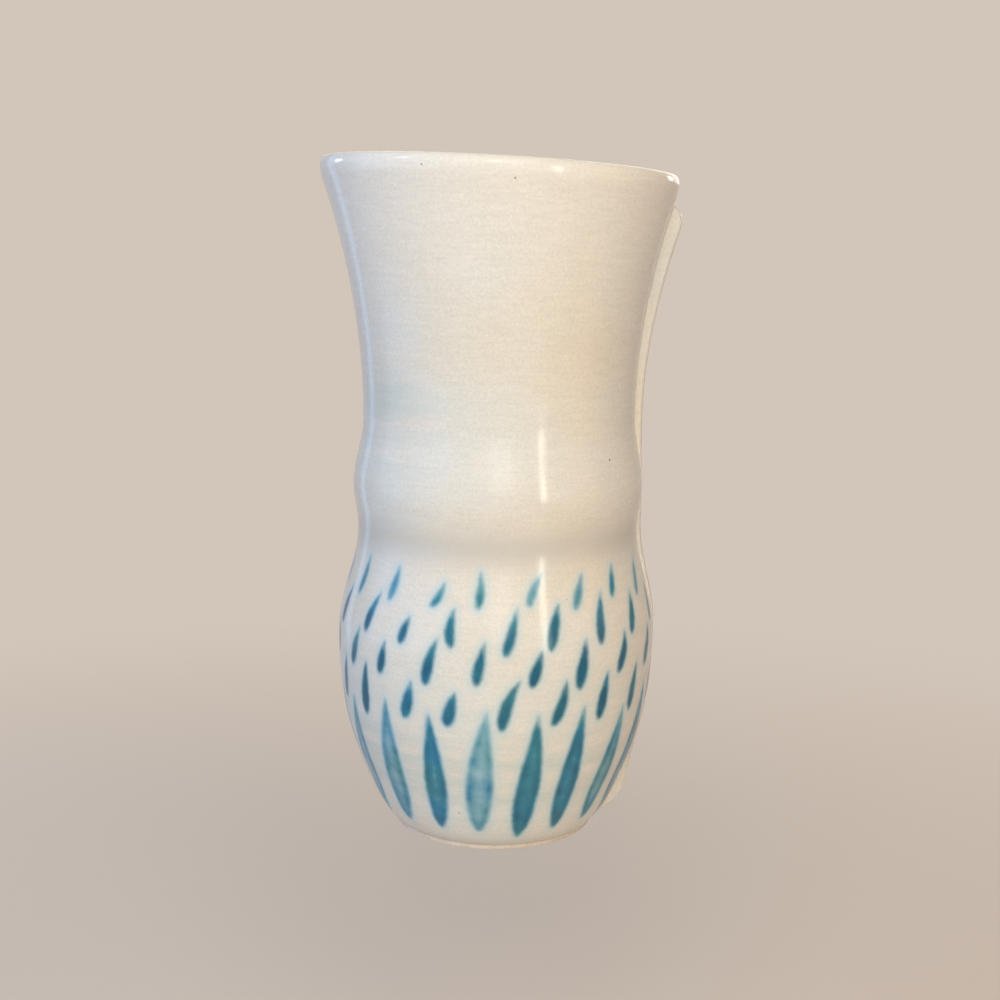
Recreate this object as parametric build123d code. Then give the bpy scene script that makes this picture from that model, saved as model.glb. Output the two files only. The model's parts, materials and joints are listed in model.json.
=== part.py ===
from build123d import *
import math
import os

# Hanging wall vase: a thrown pot, sliced along its back and luted to a flat slab, on its screw and plug.
# Millimetres. +Z is up, +Y goes into the wall and the front faces -Y. The origin is the point where the
# axis of the hanging screw meets the wall. Heights are counted from the foot until the last step.

# Thrown outline: the rise from each station to the next, and the radius there
FOOT_RADIUS = 30.0
HIP_RISE = 20.0
HIP_RADIUS = 41.6
BELLY_RISE = 41.0
BELLY_RADIUS = 48.7
GROOVE_RISE = 32.0
GROOVE_RADIUS = 42.7
RING_RISE = 13.0
RING_RADIUS = 44.1
NECK_RISE = 20.0
NECK_RADIUS = 41.1
RIM_RISE = 74.0
RIM_RADIUS = 54.3

# How fast the radius grows with height where the outline isn't upright
FOOT_FLARE = 1.09
HIP_FLARE = 0.43
RIM_FLARE = 0.35

# Thrown wall
WALL = 4.5
AXIS_DEPTH = 12.0
RIM_SLANT = 2.35
LIP_ROUND = 1.8
RIM_END_ROUND = 6.0

# Back slab, how far it stands proud of the wall at each station, and how its sides flare low down.
# Left of the mouth it is trimmed closer to the wall.
SLAB_THICK = 7.0
SLAB_PROUD_FOOT = 4.6
SLAB_PROUD_HIP = 1.9
SLAB_PROUD_BELLY = 0.3
SLAB_PROUD_GROOVE = 1.4
SLAB_PROUD_NECK = 2.5
SLAB_PROUD_RIM = 4.6
SLAB_LEFT_TRIM = 1.6
SLAB_FOOT_FLARE = 1.3
SLAB_HIP_FLARE = 0.25
SLAB_DROP = 6.0
SLAB_CORNER_ROUND = 7.0
SLAB_FOOT_ROUND = 2.0
SLAB_EDGE_ROUND = 1.2

# Base slab
BASE_THICK = 7.0
BARE_EDGE = 1.5
BARE_SETBACK = 0.25
SLIP_GAP = 0.1

# Coils pressed into the seams
COIL_WIDTH = 5.0
COIL_TOP_DROP = 55.0
COIL_ROUND = 3.0

# Hanging screw, keyhole and wall plug
HANG_DROP = 35.0
SHANK_RADIUS = 2.0
SHANK_REACH = 24.0
SCREW_POINT = 4.0
HEAD_RADIUS = 4.0
HEAD_HEIGHT = 2.6
HEAD_ROUND = 1.6
HEAD_GAP = 0.5
DRIVE_WIDTH = 1.0
DRIVE_LENGTH = 4.6
DRIVE_DEPTH = 1.5
SLOT_CLEARANCE = 0.3
ENTRY_CLEARANCE = 0.8
LIFT_TRAVEL = 10.0
PLUG_RADIUS = 3.0
PLUG_NECK = 12.0
PLUG_BARBS = 4
BARB_LENGTH = 4.0
BARB_DEPTH = 0.4
PLUG_TIP = 2.0
PLUG_BORE_CLEARANCE = 0.15
PLUG_SET_IN = 0.3
PLUG_SLIT = 0.8

RUNOUT = 8.0
ROOM = 600.0


def rising(stations):
    """Running heights of stations that are given as rise, radius and flare."""
    height = 0.0
    placed = []
    for rise, radius, flare in stations:
        height += rise
        placed.append((height, radius, flare))
    return placed


THROWN = rising([
    (0.0, FOOT_RADIUS, FOOT_FLARE),
    (HIP_RISE, HIP_RADIUS, HIP_FLARE),
    (BELLY_RISE, BELLY_RADIUS, 0.0),
    (GROOVE_RISE, GROOVE_RADIUS, 0.0),
    (RING_RISE, RING_RADIUS, 0.0),
    (NECK_RISE, NECK_RADIUS, 0.0),
    (RIM_RISE, RIM_RADIUS, RIM_FLARE),
])
HEIGHT = THROWN[-1][0]
HANG_HEIGHT = HEIGHT - HANG_DROP
SEAM_DEPTH = AXIS_DEPTH - SLAB_THICK
MOUTH = Pos(0, 0, HEIGHT) * Rot(0, RIM_SLANT, 0)


def run_on(stations):
    """The stations with a straight run below the first and above the last one."""
    low_height, low_radius, low_flare = stations[0]
    top_height, top_radius, top_flare = stations[-1]
    below = (low_height - RUNOUT, low_radius - low_flare * RUNOUT, low_flare)
    above = (top_height + RUNOUT, top_radius + top_flare * RUNOUT, top_flare)
    return [below] + stations + [above]


def rising_curve(stations, side=1):
    """Cubic arcs through the stations, each leaving and arriving with the stated flare."""
    edges = []
    for (z0, r0, flare0), (z1, r1, flare1) in zip(stations, stations[1:]):
        third = (z1 - z0) / 3
        edges.append(Bezier(
            (side * r0, 0, z0),
            (side * (r0 + flare0 * third), 0, z0 + third),
            (side * (r1 - flare1 * third), 0, z1 - third),
            (side * r1, 0, z1),
        ))
    return edges


def turned(inset):
    """Solid of revolution inside the thrown outline, drawn in by an inset, about the thrown axis."""
    stations = run_on([(z, r - inset, flare) for z, r, flare in THROWN])
    low, high = stations[0], stations[-1]
    outline = rising_curve(stations) + [
        Line((0, 0, low[0]), (low[1], 0, low[0])),
        Line((high[1], 0, high[0]), (0, 0, high[0])),
        Line((0, 0, high[0]), (0, 0, low[0])),
    ]
    return Pos(0, -AXIS_DEPTH, 0) * revolve(make_face(outline), Axis.Z)


def above(height):
    return Pos(0, 0, height) * Box(ROOM, ROOM, ROOM, align=(Align.CENTER, Align.CENTER, Align.MIN))


def below(height):
    return Pos(0, 0, height) * Box(ROOM, ROOM, ROOM, align=(Align.CENTER, Align.CENTER, Align.MAX))


def in_front(depth):
    return Pos(0, -depth, 0) * Box(ROOM, ROOM, ROOM, align=(Align.CENTER, Align.MAX, Align.CENTER))


def behind(depth):
    return Pos(0, -depth, 0) * Box(ROOM, ROOM, ROOM, align=(Align.CENTER, Align.MIN, Align.CENTER))


def over_mouth(drop=0.0):
    """Room over the slanting mouth, or over a plane that lies a drop below it."""
    return MOUTH * Pos(0, 0, -drop) * Box(ROOM, ROOM, ROOM, align=(Align.CENTER, Align.CENTER, Align.MIN))


def rim_end_cutter():
    """What a thumb takes off the two ends of the rim where they come down to the slab."""
    corner = Box(ROOM, 2 * RIM_END_ROUND, 2 * RIM_END_ROUND)
    pivot = Pos(0, -SLAB_THICK - RIM_END_ROUND, -RIM_END_ROUND)
    barrel = Rot(0, 90, 0) * Cylinder(RIM_END_ROUND, ROOM)
    quarter = Pos(0, RIM_END_ROUND, RIM_END_ROUND) * corner - barrel
    return MOUTH * pivot * quarter


def thrown_wall():
    ring = turned(0) - turned(WALL) - over_mouth()
    lip = ring.edges().group_by(Axis.Z)[-1] + ring.edges().group_by(Axis.Z)[-2]
    ring = fillet(lip, LIP_ROUND)
    sliced = ring - behind(SLAB_THICK) - below(BARE_EDGE)
    return sliced - rim_end_cutter()


def seam_half_width(radius):
    """Half the chord that the slab's front face cuts from a circle about the thrown axis."""
    return math.sqrt(radius ** 2 - SEAM_DEPTH ** 2)


def slab_outline(rim_proud):
    """One side of the slab, cut a little wider than the pot and straight past the throwing ring."""
    return run_on(rising([
        (0.0, seam_half_width(FOOT_RADIUS) + SLAB_PROUD_FOOT, SLAB_FOOT_FLARE),
        (HIP_RISE, seam_half_width(HIP_RADIUS) + SLAB_PROUD_HIP, SLAB_HIP_FLARE),
        (BELLY_RISE, seam_half_width(BELLY_RADIUS) + SLAB_PROUD_BELLY, 0.0),
        (GROOVE_RISE, seam_half_width(GROOVE_RADIUS) + SLAB_PROUD_GROOVE, 0.0),
        (RING_RISE + NECK_RISE, seam_half_width(NECK_RADIUS) + SLAB_PROUD_NECK, 0.0),
        (RIM_RISE, seam_half_width(RIM_RADIUS) + rim_proud, RIM_FLARE),
    ]))


def back_slab():
    """Flat slab under the slanting mouth; at the mouth its left side is cut closer to the pot than its right."""
    right, left = slab_outline(SLAB_PROUD_RIM), slab_outline(SLAB_PROUD_RIM - SLAB_LEFT_TRIM)
    across = [Line((-left[k][1], 0, left[k][0]), (right[k][1], 0, right[k][0])) for k in (0, -1)]
    slab = make_face(rising_curve(right) + rising_curve(left, -1) + across)
    slab = extrude(slab, SLAB_THICK, dir=(0, -1, 0))
    slab = slab - below(0) - over_mouth(SLAB_DROP)
    slab = fillet(slab.edges().filter_by(runs_through).sort_by(Axis.Z)[-2:], SLAB_CORNER_ROUND)
    slab = fillet(slab.edges().filter_by(runs_through).sort_by(Axis.Z)[:2], SLAB_FOOT_ROUND)
    slab = fillet(slab.edges().filter_by(lambda edge: not runs_through(edge)), SLAB_EDGE_ROUND)
    return slab - keyhole()


def runs_through(edge):
    """True for an edge that runs from the slab's front to its back."""
    return edge.bounding_box().size.Y > SLAB_THICK / 2


def keyhole():
    """Round entry for the screw's head, with a slot up to where the shank carries the vase."""
    slot_radius = SHANK_RADIUS + SLOT_CLEARANCE
    through = 3 * SLAB_THICK
    upright = Rot(90, 0, 0)
    entry = Pos(0, 0, -LIFT_TRAVEL) * upright * Cylinder(HEAD_RADIUS + ENTRY_CLEARANCE, through)
    slot_end = upright * Cylinder(slot_radius, through)
    slot = Pos(0, 0, -LIFT_TRAVEL / 2) * Box(2 * slot_radius, through, LIFT_TRAVEL)
    return Pos(0, 0, HANG_HEIGHT) * (entry + slot_end + slot)


def base_slab():
    """Floor of the vase: its upright bare edge carries the wall, and a shoulder stands up inside the wall."""
    edge_radius = FOOT_RADIUS + FOOT_FLARE * BARE_EDGE - BARE_SETBACK
    from_foot = (Align.CENTER, Align.CENTER, Align.MIN)
    edge = Pos(0, -AXIS_DEPTH, 0) * Cylinder(edge_radius, BARE_EDGE, align=from_foot)
    shoulder = turned(WALL + SLIP_GAP) - above(BASE_THICK) - below(0)
    return (edge + shoulder) - behind(SLAB_THICK)


def seam_ring():
    """Layer one coil thick just inside the thrown wall."""
    return turned(WALL) - turned(WALL + COIL_WIDTH)


def side_coils():
    """Left and right coil, rounded by a finger along the edge that faces into the vase."""
    strip = seam_ring() - below(BASE_THICK) - above(HEIGHT - COIL_TOP_DROP)
    strip = strip - behind(SLAB_THICK) - in_front(SLAB_THICK + COIL_WIDTH)
    coils = []
    for coil in strip.solids().sort_by(Axis.X):
        face = coil.faces().sort_by(Axis.Y)[0]
        long_edges = face.edges().filter_by(lambda edge: edge.bounding_box().size.Z > COIL_WIDTH)
        free = [min(pair, key=lambda edge: abs(edge.center().X)) for pair in long_edges.group_by(Axis.Z)]
        coils.append(coil.fillet(COIL_ROUND, free))
    return coils


def floor_coil():
    ring = seam_ring() - below(BASE_THICK) - above(BASE_THICK + COIL_WIDTH)
    ring = ring - behind(SLAB_THICK + COIL_WIDTH)
    inner_arc = ring.faces().sort_by(Axis.Z)[-1].edges().sort_by(SortBy.LENGTH)[-2]
    return fillet(inner_arc, COIL_ROUND)


def about_screw(points):
    """Body turned about the screw's axis from points of radius and depth."""
    return revolve(make_face(Polyline(*points, close=True)), Axis.Y)


def hanging_screw():
    seat = -SLAB_THICK - HEAD_GAP
    crown = seat - HEAD_HEIGHT
    screw = about_screw([
        (0, crown),
        (HEAD_RADIUS, crown),
        (HEAD_RADIUS, seat),
        (SHANK_RADIUS, seat),
        (SHANK_RADIUS, SHANK_REACH),
        (0, SHANK_REACH + SCREW_POINT),
    ])
    screw = fillet(screw.edges().group_by(Axis.Y)[0], HEAD_ROUND)
    for turn in (0, 90):
        slot = Box(DRIVE_LENGTH, 2 * DRIVE_DEPTH, DRIVE_WIDTH)
        screw = screw - Pos(0, crown, 0) * Rot(0, turn, 0) * slot
    return screw


def wall_plug():
    start = PLUG_SET_IN
    neck_end = start + PLUG_NECK
    outline = [(0, start), (PLUG_RADIUS, start), (PLUG_RADIUS, neck_end)]
    for barb in range(PLUG_BARBS):
        outline.append((PLUG_RADIUS - BARB_DEPTH, neck_end + barb * BARB_LENGTH))
        outline.append((PLUG_RADIUS, neck_end + (barb + 1) * BARB_LENGTH))
    end = neck_end + PLUG_BARBS * BARB_LENGTH + PLUG_TIP
    outline += [(PLUG_RADIUS - BARB_DEPTH, end), (0, end)]
    plug = about_screw(outline)
    bore = SHANK_RADIUS + PLUG_BORE_CLEARANCE
    plug = plug - Rot(90, 0, 0) * Cylinder(bore, 4 * end)
    for size in ((PLUG_SLIT, 4 * PLUG_RADIUS), (4 * PLUG_RADIUS, PLUG_SLIT)):
        slit = Box(size[0], end, size[1], align=(Align.CENTER, Align.MIN, Align.CENTER))
        plug = plug - Pos(0, neck_end, 0) * slit
    return plug


def save(name, shape, drop=0.0):
    placed = Pos(0, 0, -drop) * shape
    export_step(placed, f"parts/{name}.step")
    box = placed.bounding_box()
    print(f"{name}: {placed.volume / 1000:.1f} cm3, {box.size.X:.1f} x {box.size.Y:.1f} x {box.size.Z:.1f} mm")


os.makedirs("parts", exist_ok=True)
left_coil, right_coil = side_coils()
save("thrown_wall", thrown_wall(), HANG_HEIGHT)
save("back_slab", back_slab(), HANG_HEIGHT)
save("base_slab", base_slab(), HANG_HEIGHT)
save("left_seam_coil", left_coil, HANG_HEIGHT)
save("right_seam_coil", right_coil, HANG_HEIGHT)
save("floor_seam_coil", floor_coil(), HANG_HEIGHT)
save("hanging_screw", hanging_screw())
save("wall_plug", wall_plug())
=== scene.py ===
# %% [markdown]
# # Hanging wall vase
# A round pot is thrown on the wheel without a floor, sliced along its back and joined to a flat slab, so
# that it can hang flat on a screw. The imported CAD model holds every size, body and joint. This lesson loads
# it as a fixed frame and then gives each piece the surface and the finish of the real one.

# %% Load the frame
import json
import bmesh
import bpy
import numpy as np
from mathutils import Matrix

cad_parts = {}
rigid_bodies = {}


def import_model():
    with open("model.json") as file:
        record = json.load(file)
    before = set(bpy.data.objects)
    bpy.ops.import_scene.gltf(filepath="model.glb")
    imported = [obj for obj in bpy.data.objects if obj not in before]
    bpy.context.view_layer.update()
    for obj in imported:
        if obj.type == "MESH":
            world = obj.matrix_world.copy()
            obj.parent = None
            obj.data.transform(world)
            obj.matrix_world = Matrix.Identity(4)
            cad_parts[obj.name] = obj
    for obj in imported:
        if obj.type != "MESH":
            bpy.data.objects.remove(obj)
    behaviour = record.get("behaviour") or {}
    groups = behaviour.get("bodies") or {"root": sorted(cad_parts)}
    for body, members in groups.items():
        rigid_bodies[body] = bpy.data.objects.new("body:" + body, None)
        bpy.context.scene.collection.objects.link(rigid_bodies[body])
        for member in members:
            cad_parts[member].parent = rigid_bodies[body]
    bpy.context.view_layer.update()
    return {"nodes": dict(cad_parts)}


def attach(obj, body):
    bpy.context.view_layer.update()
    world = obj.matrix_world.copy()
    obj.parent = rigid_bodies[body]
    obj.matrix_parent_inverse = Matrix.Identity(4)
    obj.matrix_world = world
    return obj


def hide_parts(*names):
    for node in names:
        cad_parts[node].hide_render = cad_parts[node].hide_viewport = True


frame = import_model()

print("frame:", ", ".join(sorted(frame["nodes"])))

# %% [markdown]
# ## The pot's outline
# Heights are counted in millimetres from the foot, as a potter reads a pot, and the frame's origin lies at
# the hanging screw, so one function at the end of the line moves every point there. The outline is the one
# that the CAD model was turned from: a cubic between each two stations, which leaves and arrives with the
# flare that is stated. A formula keeps the surface smooth at any grid size, which a list of points doesn't.

# %% Stations
MM = 0.001
HANG_HEIGHT = 165.0
AXIS_DEPTH = 12.0
SLAB_THICK = 7.0
SEAM_DEPTH = AXIS_DEPTH - SLAB_THICK
WALL = 4.5
BARE_EDGE = 1.5
RIM_FALL = 0.041
RIM_END_ROUND = 6.0
HIP, BELLY, GROOVE, RING, NECK, HEIGHT = 20.0, 61.0, 93.0, 106.0, 126.0, 200.0
# height, radius and flare (radius gained per height) at each station
THROWN = np.array([
    (0.0, 30.0, 1.09),
    (HIP, 41.6, 0.43),
    (BELLY, 48.7, 0.0),
    (GROOVE, 42.7, 0.0),
    (RING, 44.1, 0.0),
    (NECK, 41.1, 0.0),
    (HEIGHT, 54.3, 0.35),
])

# how far the slab stands outside the wall at a height, and the flare of its edge there
SLAB_PROUD = {
    0.0: (4.6, 1.3),
    HIP: (1.9, 0.25),
    BELLY: (0.3, 0.0),
    GROOVE: (1.4, 0.0),
    NECK: (2.5, 0.0),
    HEIGHT: (4.6, 0.35),
}
SLAB_LEFT_TRIM = 1.6
SLAB_RIGHT = np.array([
    (z, np.sqrt(radius ** 2 - SEAM_DEPTH ** 2) + SLAB_PROUD[z][0], SLAB_PROUD[z][1])
    for z, radius, _ in THROWN if z in SLAB_PROUD
])
SLAB_LEFT = SLAB_RIGHT - np.outer(SLAB_RIGHT[:, 0] == HEIGHT, (0.0, SLAB_LEFT_TRIM, 0.0))
print("stations:", len(THROWN), "on the pot,", len(SLAB_RIGHT), "on each side of the slab")


# %% Outline
def along_stations(stations, z):
    """Cubic through stations of height, value and slope: with t from 0 to 1 between two stations, the value
    is (1+2t)(1-t)^2 a + t^2(3-2t) b plus the slopes' share t(1-t)^2 and -t^2(1-t) times the rise."""
    z = np.asarray(z, float)
    k = np.clip(np.searchsorted(stations[:, 0], z, side="right") - 1, 0, len(stations) - 2)
    low, high = stations[k], stations[k + 1]
    rise = high[..., 0] - low[..., 0]
    t = (z - low[..., 0]) / rise
    values = (1 + 2 * t) * (1 - t) ** 2 * low[..., 1] + t ** 2 * (3 - 2 * t) * high[..., 1]
    slopes = t * (1 - t) ** 2 * low[..., 2] - t ** 2 * (1 - t) * high[..., 2]
    return values + rise * slopes


def pot_radius(z):
    """Radius of the wall's outside at a height: the cubic through the thrown stations."""
    return along_stations(THROWN, z)


def seam_turn(radius):
    """Angle from the front, about the thrown axis, at which a circle meets the slab's front face."""
    return np.pi / 2 + np.arcsin(SEAM_DEPTH / radius)


def slab_proud(stations, z):
    """How far a side of the slab stands outside the wall, on the plane where the two meet."""
    return along_stations(stations, z) - np.sqrt(pot_radius(z) ** 2 - SEAM_DEPTH ** 2)


def on_pot(radius, turn, z):
    """Point at an angle from the front: x is r sin(turn), and y is r cos(turn) in front of the thrown axis."""
    x, y = radius * np.sin(turn), -AXIS_DEPTH - radius * np.cos(turn)
    return np.stack(np.broadcast_arrays(x, y, z), axis=-1)


print("widest at the rim:", 2 * pot_radius(HEIGHT), "mm, at the belly:", 2 * pot_radius(BELLY), "mm")

# %% [markdown]
# ## From a grid to a piece
# Every new piece is a grid of points. A face joins four neighbours on it, and where the surface closes on
# itself the last line joins the first. The sum of a·(b×c) over all faces is six times the enclosed volume,
# so its sign tells whether the faces point outwards, whatever way the grid was numbered.

# %% Grid helpers
MERGE_MM = 0.002


def grid_faces(rows, columns, wrap_rows=False, wrap_columns=False):
    """Corner numbers of each face of a grid that is numbered row by row."""
    row = np.arange(rows if wrap_rows else rows - 1)[:, None]
    column = np.arange(columns if wrap_columns else columns - 1)[None, :]
    next_row, next_column = (row + 1) % rows, (column + 1) % columns
    corners = (
        row * columns + column,
        row * columns + next_column,
        next_row * columns + next_column,
        next_row * columns + column,
    )
    return np.stack(np.broadcast_arrays(*corners), axis=-1).reshape(-1, 4)


def end_faces(loop):
    """Strip of faces over a closed loop of points, which pairs its points from both ends inwards."""
    k = np.arange(len(loop) // 2 - 1)
    back = len(loop) - 1 - k
    return np.stack([loop[k], loop[k + 1], loop[back - 1], loop[back]], axis=-1)


def make_piece(name, points, faces, crease_deg, attributes=None):
    """Mesh from points in mm above the foot; its faces are turned outwards and meeting points are merged."""
    points = np.asarray(points, float).reshape(-1, 3) * MM - (0, 0, HANG_HEIGHT * MM)
    a, b, c, d = (points[faces[:, corner]] for corner in range(4))
    if np.sum(a * (np.cross(b, c) + np.cross(c, d))) < 0:
        faces = faces[:, ::-1]
    mesh = bpy.data.meshes.new(name)
    mesh.from_pydata(points, [], faces)
    for attribute, values in (attributes or {}).items():
        layer = mesh.attributes.new(attribute, "FLOAT", "POINT")
        layer.data.foreach_set("value", np.asarray(values, np.float32).ravel())
    merged = bmesh.new()
    merged.from_mesh(mesh)
    bmesh.ops.remove_doubles(merged, verts=merged.verts, dist=MERGE_MM * MM)
    merged.to_mesh(mesh)
    merged.free()
    mesh.shade_smooth()
    mesh.set_sharp_from_angle(angle=np.radians(crease_deg))
    made = bpy.data.objects.new(name, mesh)
    bpy.context.scene.collection.objects.link(made)
    print(f"{name}: {len(mesh.vertices)} points, {len(mesh.polygons)} faces")
    return made


print("faces on a grid of 3 by 4 points:", len(grid_faces(3, 4)))

# %% [markdown]
# ## The thrown wall
# The wall is one closed skin: up the outside, over the lip, down the inside and back under the foot. The lip
# is drawn as a superellipse, because a potter's chamois leaves it rounder than a plain bevel would. The rim
# falls a little to the right, and both its ends come down in a quarter round where they reach the slab.
# Along the seam the wall swells by a few tenths: that is the slip that was smoothed into the join. Both
# seams swell by a share of what the slab leaves free on its narrower side, the left.
# About one point per millimetre is enough, because the brushwork is stored as a distance and not as a colour.

# %% Rim and lip
LIP_HEIGHT, LIP_CREST, LIP_POWER = 6.0, 0.6, 2.0
CREST_RADIUS = THROWN[-1, 1] - LIP_CREST * WALL


def rim_height(turn):
    """Height of the lip's crest at an angle: the slanting mouth, less a quarter round beside the slab."""
    x, y, _ = np.moveaxis(on_pot(CREST_RADIUS, turn, 0.0), -1, 0)
    into_round = np.clip(y + SLAB_THICK + RIM_END_ROUND, 0, RIM_END_ROUND)
    return HEIGHT - RIM_FALL * x - RIM_END_ROUND + np.sqrt(RIM_END_ROUND ** 2 - into_round ** 2)


def lip_crown(share):
    """Height of the lip over the wall's thickness, 0 to 1: two quarter superellipses that meet at the
    crest, each with (1 - off^p)^(1/p) for its height."""
    off = np.where(share < LIP_CREST, 1 - share / LIP_CREST, (share - LIP_CREST) / (1 - LIP_CREST))
    return (1 - off ** LIP_POWER) ** (1 / LIP_POWER)


print("the rim falls by", round(2 * RIM_FALL * CREST_RADIUS, 1), "mm from left to right")

# %% Section of the wall
TOE_ROWS, WALL_ROWS, LIP_ROWS, WALL_COLUMNS = 4, 214, 17, 171
TOE_ROUND = 0.45
LUTE_REACH, LUTE_SHARE, LUTE_MOST = 2.0, 0.2, 0.4
across = np.linspace(-1, 1, WALL_COLUMNS)
rim = rim_height(across * seam_turn(CREST_RADIUS))
toe_angle = np.linspace(-np.pi / 2, 0, TOE_ROWS, endpoint=False)
toe_inset = TOE_ROUND * (1 - np.cos(toe_angle))
toe_z = BARE_EDGE + TOE_ROUND * (1 + np.sin(toe_angle))
side_share = np.linspace(0, 1, WALL_ROWS)[:, None]
side_z = BARE_EDGE + TOE_ROUND + side_share * (rim - LIP_HEIGHT - BARE_EDGE - TOE_ROUND)
lip_share = 0.5 - 0.5 * np.cos(np.linspace(0, np.pi, LIP_ROWS + 2)[1:-1])
lip_z = rim - LIP_HEIGHT * (1 - lip_crown(lip_share)[:, None])
toe_z = np.broadcast_to(toe_z[:, None], (TOE_ROWS, WALL_COLUMNS))
section_z = np.concatenate([toe_z, side_z, lip_z, side_z[::-1], toe_z[::-1]])
section_inset = np.concatenate([
    toe_inset,
    np.zeros(WALL_ROWS),
    WALL * lip_share,
    np.full(WALL_ROWS, WALL),
    WALL - toe_inset[::-1],
])[:, None]
wall_radius = pot_radius(section_z) - section_inset
from_slab = -SLAB_THICK - on_pot(wall_radius, across * seam_turn(wall_radius), 0.0)[..., 1]
lute_swell = np.clip(LUTE_SHARE * slab_proud(SLAB_LEFT, section_z), 0, LUTE_MOST)
lute = lute_swell * np.clip(1 - from_slab / LUTE_REACH, 0, 1) ** 2
outer_side = np.clip(1 - section_inset / WALL, 0, 1)
wall_radius = wall_radius + lute * outer_side
wall_turn = across * seam_turn(wall_radius)
wall_points = on_pot(wall_radius, wall_turn, section_z)
print("lip runs from", round(rim.min(), 1), "to", round(rim.max(), 1), "mm")

# %% [markdown]
# ## Brushwork
# The teal strokes are painted on the raw pot with a soft brush loaded with oxide, and the glaze melts over
# them: a dark heart, soft edges, thin colour where the brush ran dry. The drawing is a plain band that many
# potters paint: long petals round the lower body and rows of short dabs over them, set between each other.
# Each stroke is a bent line with a width along it. For every point of the wall, the distance to the nearest
# stroke's edge is kept in an attribute, and the material turns it into a soft edge, finer than the grid.

# %% Strokes
FLAT_RADIUS = 46.0
SAMPLE_MM = 0.4
TIP_POWER = 0.8
SIDE_SLIP_DEG, FOOT_SLIP_MM, LEAN_SLIP_DEG, TIP_SLIP_MM, BEND_SLIP_MM = 0.9, 0.8, 1.2, 1.4, 0.5
LEAST_WIDTH, MOST_WIDTH = 0.88, 1.1
LESS_LOAD, MORE_LOAD, LEAST_DRAIN, MOST_DRAIN = -0.16, 0.1, 0.05, 0.3
rng = np.random.default_rng(11)
strokes = []


def flat(turn_deg, z):
    """Place on the unrolled pot, in mm: sideways from the front at a mean radius, and up from the foot."""
    return np.array([np.radians(turn_deg) * FLAT_RADIUS, z], float)


def bent_line(start, end, bend, t):
    """Quadratic curve from start to end whose middle stands `bend` mm to the left of the straight line."""
    along = end - start
    side = np.array([-along[1], along[0]]) / np.hypot(*along)
    middle = (start + end) / 2 + 2 * bend * side
    t = np.asarray(t)[:, None]
    return (1 - t) ** 2 * start + 2 * t * (1 - t) * middle + t ** 2 * end


def paint(start, end, bend, width, belly, first_load, last_load):
    """Keeps a stroke. Its half width is w/2 times a power of sin(pi t^belly), so a small belly makes it fat
    at the start."""
    t = np.linspace(0.0, 1.0, int(np.hypot(*(end - start)) / SAMPLE_MM))
    half = width / 2 * np.sin(np.pi * t ** belly).clip(0) ** TIP_POWER
    load = first_load + (last_load - first_load) * t
    strokes.append((bent_line(start, end, bend, t), half, load))


def paint_row(turns, low, high, width, belly, lean, load):
    """One row of like strokes, each with a hand's small faults in place, lean, size and load."""
    for turn in turns:
        turn, wide = turn + rng.normal(0, SIDE_SLIP_DEG), width * rng.uniform(LEAST_WIDTH, MOST_WIDTH)
        foot = flat(turn, low + rng.normal(0, FOOT_SLIP_MM))
        tip = flat(turn + lean + rng.normal(0, LEAN_SLIP_DEG), high + rng.normal(0, TIP_SLIP_MM))
        full = load + rng.uniform(LESS_LOAD, MORE_LOAD)
        bend = rng.normal(0, BEND_SLIP_MM)
        paint(foot, tip, bend, wide, belly, full, full - rng.uniform(LEAST_DRAIN, MOST_DRAIN))


print("brush sampled every", SAMPLE_MM, "mm on a pot unrolled at radius", FLAT_RADIUS, "mm")

# %% Petals and dabs
STEP_DEG = 18.0
PETALS = np.arange(-6, 7) * STEP_DEG
# steps aside, low and high end in mm, width in mm, belly, lean in degrees, load of the brush
STROKE_ROWS = (
    (0.0, 7.0, 47.0, 7.4, 0.72, 3.0, 0.72),
    (0.5, 43.0, 56.0, 3.6, 0.62, 3.5, 0.98),
    (0.0, 55.0, 67.0, 3.4, 0.62, 3.5, 0.95),
    (0.5, 66.0, 77.0, 3.1, 0.62, 3.5, 0.90),
    (0.0, 77.0, 86.0, 2.6, 0.62, 3.5, 0.70),
)
for aside, *stroke in STROKE_ROWS:
    paint_row(PETALS + aside * STEP_DEG, *stroke)
print("strokes:", len(strokes))

# %% Distance to the strokes
FAR_MM = 9.0
BLEED_MM, UNDER_SHARE = 0.8, 0.6
outside = slice(0, TOE_ROWS + WALL_ROWS)
unrolled = np.stack([wall_turn * FLAT_RADIUS, section_z], axis=-1)
stroke_edge = np.full(section_z.shape, -FAR_MM)
pigment = np.zeros(section_z.shape)
for line, half, load in strokes:
    low, high = line.min(0) - FAR_MM, line.max(0) + FAR_MM
    near = np.all((unrolled > low) & (unrolled < high), axis=-1)
    near[outside.stop:] = False
    offset = unrolled[near][:, None, :] - line[None]
    offset[..., 0] *= (wall_radius[near] / FLAT_RADIUS)[:, None]
    depth = half - np.hypot(offset[..., 0], offset[..., 1])
    nearest = depth.argmax(axis=1)
    into_stroke = depth[np.arange(len(depth)), nearest]
    fill = load[nearest]
    bled = np.where(into_stroke > -BLEED_MM, fill, 0)
    on_top = np.maximum(fill, UNDER_SHARE * pigment[near])
    beneath = np.maximum(pigment[near], UNDER_SHARE * bled)
    pigment[near] = np.where(into_stroke > stroke_edge[near], on_top, beneath)
    stroke_edge[near] = np.maximum(stroke_edge[near], into_stroke)
print("share of the outside under paint:", round(float((stroke_edge[outside] > 0).mean()), 3))

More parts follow.
